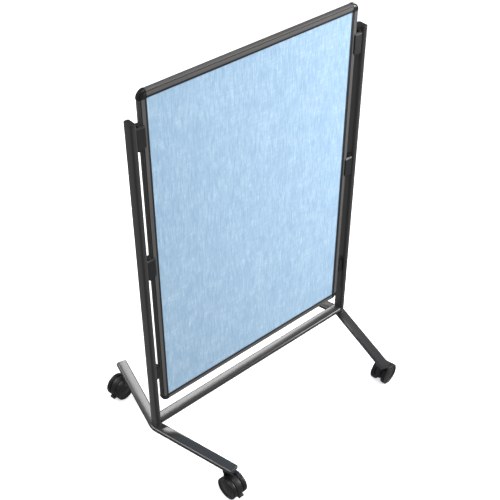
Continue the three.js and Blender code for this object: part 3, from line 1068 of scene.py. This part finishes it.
# %% The hood and its neck
hood_cut, cut_slope = 41 * mm, 0.18
face_draw = 0.86
neck_radius, neck_low = 15 * mm, 60 * mm
collar_radius, collar_low = 19 * mm, 108 * mm
ring_low, ring_high, ring_depth = 117 * mm, 119 * mm, 1.2 * mm


def upright_disc(name, radius, low, high):
    return disc(name, radius, high - low, (0, 0, (high + low) / 2))


def mould_hood():
    centre = Vector((0, -castor_trail, axle_height))
    hood = disc("hood", hood_radius, 2 * hood_half, centre, "X", 72)
    edit(hood, "FACE")
    bpy.ops.mesh.select_all(action="SELECT")
    bpy.ops.mesh.bisect(
        plane_co=(0, centre.y, hood_cut),
        plane_no=(0, cut_slope, -1),
        clear_outer=True,
        use_fill=True,
    )
    leave()
    tidy(hood)
    pick_faces(hood, lambda at, normal: abs(normal.x) > 0.9)
    bpy.ops.mesh.inset(thickness=5 * mm)
    bpy.ops.transform.resize(value=(face_draw, 1, 1), center_override=tuple(centre))
    leave()

    def on_rim(point):
        from_axle = math.hypot(point.y - centre.y, point.z - centre.z)
        return abs(abs(point.x) - hood_half) < 0.1 * mm and from_axle > hood_radius - mm

    round_edges(hood, lambda a, b: on_rim(a) and on_rim(b), 2.5 * mm, 3)
    neck = upright_disc("neck", neck_radius, neck_low, hood_top)
    collar = upright_disc("collar", collar_radius, collar_low, hood_top)
    round_edges(collar, lambda a, b: max(a.z, b.z) < collar_low + 0.1 * mm, 3 * mm, 4)
    round_edges(collar, lambda a, b: min(a.z, b.z) > hood_top - 0.1 * mm, 1.2 * mm, 3)
    for height in (ring_low, ring_high):
        slice_at(collar, (0, 0, height), (0, 0, 1))
    pick_faces(
        collar, lambda at, normal: abs(normal.z) < 0.2 and ring_low < at.z < ring_high
    )
    swell(-ring_depth)
    leave()
    return join("hood", tidy(hood, 30), tidy(neck, 30), tidy(collar, 30))


hood_pattern = mould_hood()
print("hood faces", len(hood_pattern.data.polygons))

# %% [markdown]
# The wheel is a solid nylon moulding. Seen from outside it has a rounded tread, a flat rim,
# a step down to a ring, a raised boss, and a low hub over the end of the axle. It could be a
# spun outline, but insets are easier to change: each step is one inset of the outer face,
# and then a move in or out.

# %% The wheel
wheel_steps = (
    (8 * mm, 0),
    (2 * mm, -3 * mm),
    (9 * mm, -0.5 * mm),
    (3 * mm, 2 * mm),
    (14 * mm, -1.5 * mm),
    (3 * mm, 1.2 * mm),
)
tread_round = 3.2 * mm


def mould_wheel():
    """The wheel on the +X side, with its axle along X through the origin."""
    centre_x = hood_half + wheel_gap + wheel_width / 2
    wheel = disc("wheel", wheel_radius, wheel_width, (centre_x, 0, 0), "X", 96)
    pick_faces(wheel, lambda at, normal: normal.x > 0.9)
    for inset, shift in wheel_steps:
        bpy.ops.mesh.inset(thickness=inset)
        if shift:
            bpy.ops.transform.translate(value=(shift, 0, 0))
    leave()

    def on_tread(point):
        return math.hypot(point.y, point.z) > wheel_radius - 0.1 * mm

    round_edges(
        wheel,
        lambda a, b: on_tread(a) and on_tread(b) and abs(a.x - b.x) < 1e-6,
        tread_round,
        4,
    )
    pick_faces(wheel, lambda at, normal: normal.x < -0.9)
    bpy.ops.mesh.inset(thickness=7 * mm)
    bpy.ops.mesh.inset(thickness=2 * mm)
    bpy.ops.transform.translate(value=(3 * mm, 0, 0))
    leave()
    return tidy(wheel, 30)


wheel_pattern = mould_wheel()
print("wheel faces", len(wheel_pattern.data.polygons))

# %% [markdown]
# The brake pedal is a wedge that thins towards the toe, behind the hood. Three bars across
# it give the shoe a grip, and they are narrow strips of its top, pushed up.

# %% The brake pedal
pedal_low = Vector((-13 * mm, -94 * mm, 20 * mm))
pedal_high = Vector((13 * mm, -74 * mm, 35.5 * mm))
toe_thinning = 0.45
grip_middles = (-90.25 * mm, -86.25 * mm, -82.25 * mm)
grip_width, grip_height = 1.5 * mm, 0.9 * mm


def mould_pedal():
    pedal = block("pedal", pedal_low, pedal_high)
    pick_faces(pedal, lambda at, normal: normal.y < -0.9)
    bpy.ops.transform.resize(
        value=(1, 1, toe_thinning),
        center_override=(0, pedal_low.y, pedal_low.z + 2 * mm),
    )
    leave()
    for middle in grip_middles:
        for y in (middle - grip_width / 2, middle + grip_width / 2):
            slice_at(pedal, (0, y, 0), (0, 1, 0))
    push(
        pedal,
        lambda at, normal: normal.z > 0.5
        and any(abs(at.y - middle) < 0.4 * mm for middle in grip_middles),
        (0, 0, grip_height),
    )
    soften(pedal, 0.7 * mm, 2, 40)
    return tidy(pedal, 40)


pedal_pattern = mould_pedal()
print("pedal faces", len(pedal_pattern.data.polygons))

# %% [markdown]
# The hood swivels, each wheel turns on its own and each pedal tips, so each of them rides on
# its own body. The drawn stems, axles and bolts stay, and are zinc plated.

# %% Four castors
for corner, (x, y, degrees) in castors.items():
    turn, place = (0, 0, math.radians(degrees)), (x, y, 0)
    hood = copy_of(hood_pattern, corner + "_hood", turn, place)
    install(hood, corner + "_castor", "moulded_plastic", grain_black, corner + "_castor_hood")
    for letter, flip in (("a", 0.0), ("b", math.pi)):
        body = corner + "_wheel_" + letter
        on_axle = copy_of(
            wheel_pattern, "wheel", (0, 0, flip), (0, -castor_trail, axle_height)
        )
        wheel = copy_of(on_axle, corner + "_twin_wheel_" + letter, turn, place)
        bpy.data.objects.remove(on_axle)
        install(wheel, body, "wheel_plastic", wheel_black, body)
    brake_node = corner + "_brake_pedal"
    if brake_node in nodes:
        pedal = copy_of(pedal_pattern, corner + "_toe_pedal", turn, place)
        install(pedal, corner + "_brake", "moulded_plastic", grain_black, brake_node)
    coat_drawn(corner + "_castor_stem", zinc_plate)
    coat_drawn(corner + "_castor_axle", zinc_plate)
    print(corner, "castor turned", degrees)
for pattern in (hood_pattern, wheel_pattern, pedal_pattern):
    bpy.data.objects.remove(pattern)
for side in ("left", "right"):
    coat_drawn(side + "_post_bolt", zinc_plate)

# %% [markdown]
# ## The studio
# The floor is one pale plane, and a white dome of the same finish stands far round it, so
# the wall is seen against plain white from every side. Neither is mirrored in the wall or
# throws light on it: glossy black tubes would turn grey if they were.

# %% Floor and backdrop
def floor_finish():
    floor = Finish("pale_studio_floor")
    cloudy = floor.noise((0.8, 0.8, 0.8), detail=3.0)
    floor.link(
        floor.mix(
            floor.spread(cloudy, 0.0, 1.0), shade(0.90, 0.90, 0.90), shade(0.92, 0.92, 0.92)
        ),
        "Base Color",
    )
    floor.set(Roughness=0.9, Specular_IOR_Level=0.1)
    floor.set(Emission_Color=shade(1, 1, 1), Emission_Strength=0.6)
    return floor.material


bpy.ops.object.select_all(action="DESELECT")
bpy.ops.mesh.primitive_plane_add(size=40, location=(0, 0, 0))
floor = bpy.context.object
floor.name = "studio_floor"
floor.data.materials.append(floor_finish())

bpy.ops.object.select_all(action="DESELECT")
bpy.ops.mesh.primitive_uv_sphere_add(
    segments=48, ring_count=24, radius=19, location=(0, 0, 0)
)
backdrop = bpy.context.object
backdrop.name = "white_backdrop"
backdrop.data.materials.append(floor.data.materials[0])
for surround in (floor, backdrop):
    surround.visible_glossy = False
    surround.visible_diffuse = False
backdrop.visible_shadow = False
print("studio of", floor.name, "and", backdrop.name)

# %% [markdown]
# Dim, slightly blue light comes from all round. Three large panels light the wall softly:
# one overhead, one from the front right, and one behind for the back cloth. Two more, behind
# on the right and on the left, are there to be mirrored, so they are linked to the crossbar,
# the feet and the leg ends alone: the tops of those tubes turn pale towards the camera while
# their sides stay dark. The right one is rolled so that its reflection ends along the tube.

# %% Light
world = bpy.data.worlds.new("dim_surroundings")
bpy.context.scene.world = world
world.use_nodes = True
air = world.node_tree.nodes["Background"]
air.inputs["Color"].default_value = shade(0.97, 0.985, 1.0)
air.inputs["Strength"].default_value = 0.33


def soft_panel(name, place, aim, width, height, watts, roll=0.0):
    """A rectangle of light that faces its aim, turned about that line by roll degrees."""
    data = bpy.data.lights.new(name, "AREA")
    data.shape = "RECTANGLE"
    data.size, data.size_y = width, height
    data.energy = watts
    lamp = bpy.data.objects.new(name, data)
    lamp.location = place
    lamp.visible_camera = False
    facing = (Vector(aim) - Vector(place)).to_track_quat("-Z", "Y")
    lamp.rotation_euler = (facing @ Quaternion((0, 0, 1), math.radians(roll))).to_euler()
    bpy.context.collection.objects.link(lamp)
    return lamp


tubes_below = bpy.data.collections.new("tubes_below")
leg_caps = [corner + "_leg_cap" for corner in castors]
for name in ["low_cross_tube", "left_bent_foot", "right_bent_foot"] + leg_caps:
    tubes_below.objects.link(bpy.data.objects[name])
for mirrored in (
    soft_panel(
        "back_right_panel",
        place=(1.212, 1.860, 2.045),
        aim=(-0.286, 0.117, 0.116),
        width=1.87,
        height=0.86,
        watts=54,
        roll=45,
    ),
    soft_panel(
        "back_left_panel",
        place=(-3.0, 1.2, 2.1),
        aim=(-0.3, 0, 0.5),
        width=2.6,
        height=1.6,
        watts=140,
    ),
):
    mirrored.visible_diffuse = False
    mirrored.light_linking.receiver_collection = tubes_below
wall_middle = (0, 0, 1.0)
soft_panel("back_panel", (-1.2, 4.0, 2.0), wall_middle, 2.0, 2.0, 150)
soft_panel("overhead_panel", (-0.4, -0.6, 5.5), (0, 0, 0), 4.5, 4.5, 130)
soft_panel("front_right_panel", (2.8, -2.4, 2.0), wall_middle, 1.8, 1.8, 195)
print("lights", sorted(lamp.name for lamp in bpy.data.lights))
